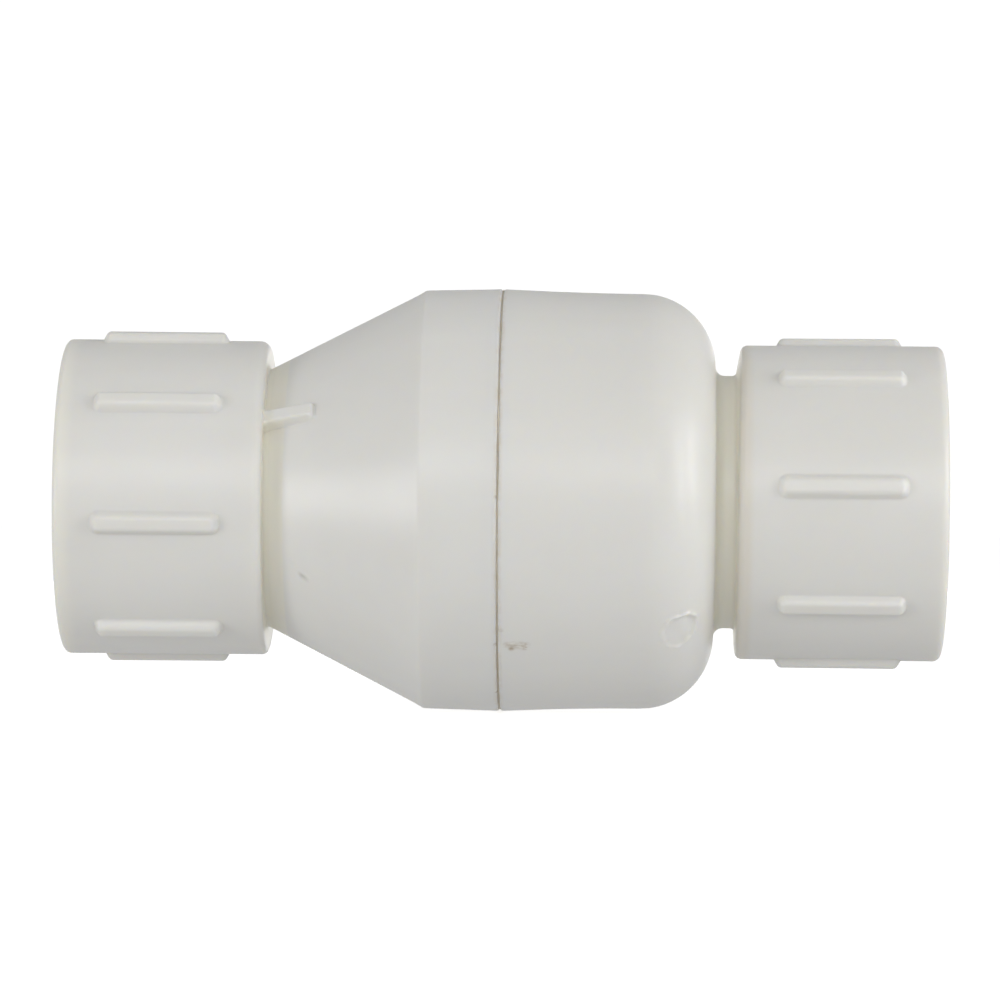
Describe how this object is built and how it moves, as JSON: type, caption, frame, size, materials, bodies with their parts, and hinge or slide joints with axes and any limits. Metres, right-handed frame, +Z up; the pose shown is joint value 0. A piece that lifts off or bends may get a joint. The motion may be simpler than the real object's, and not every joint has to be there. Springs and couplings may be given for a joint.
{
  "type": "check valve",
  "caption": "In-line spring check valve: two cemented plastic body halves with ribbed, female-threaded hubs, and a spring-loaded poppet with a rubber face inside.",
  "frame": {"origin": "middle of the valve's length, on the flow axis, which is the centre of the bounding box", "axes": "+X along the flow axis, from the outlet hub towards the inlet hub; +Z up; -Y faces a viewer who sees the outlet hub on the left"},
  "size_m": [0.167, 0.0806, 0.0806],
  "materials": {
    "body_pvc": "satin moulded PVC, warm white, slightly yellower in the necks",
    "inner_pvc": "plain moulded PVC, warm white",
    "bushing_acetal": "natural acetal",
    "stainless_steel": "bright drawn or turned stainless steel",
    "gasket_rubber": "black EPDM, matte",
    "dried_cement": "dried solvent cement, tan, uneven"
  },
  "bodies": {
    "valve_body": {"inlet_body": "body_pvc", "outlet_body": "body_pvc", "cement_bead": "dried_cement", "stem_guide": "inner_pvc", "guide_bushing": "bushing_acetal", "spring_washer": "stainless_steel", "closing_spring": "stainless_steel"},
    "poppet": {"poppet_disc": "inner_pvc", "seat_gasket": "gasket_rubber", "gasket_retainer": "inner_pvc", "poppet_stem": "stainless_steel", "lock_washer": "stainless_steel", "retainer_screw": "stainless_steel", "stem_clip": "stainless_steel"}
  },
  "joints": [
    {"name": "poppet_lift", "type": "slide", "parent": "valve_body", "child": "poppet", "axis": [-1, 0, 0], "range_m": [0, 0.012], "stiffness_N_per_m": 373, "springref_m": -0.0145, "deforming": ["closing_spring"]}
  ]
}
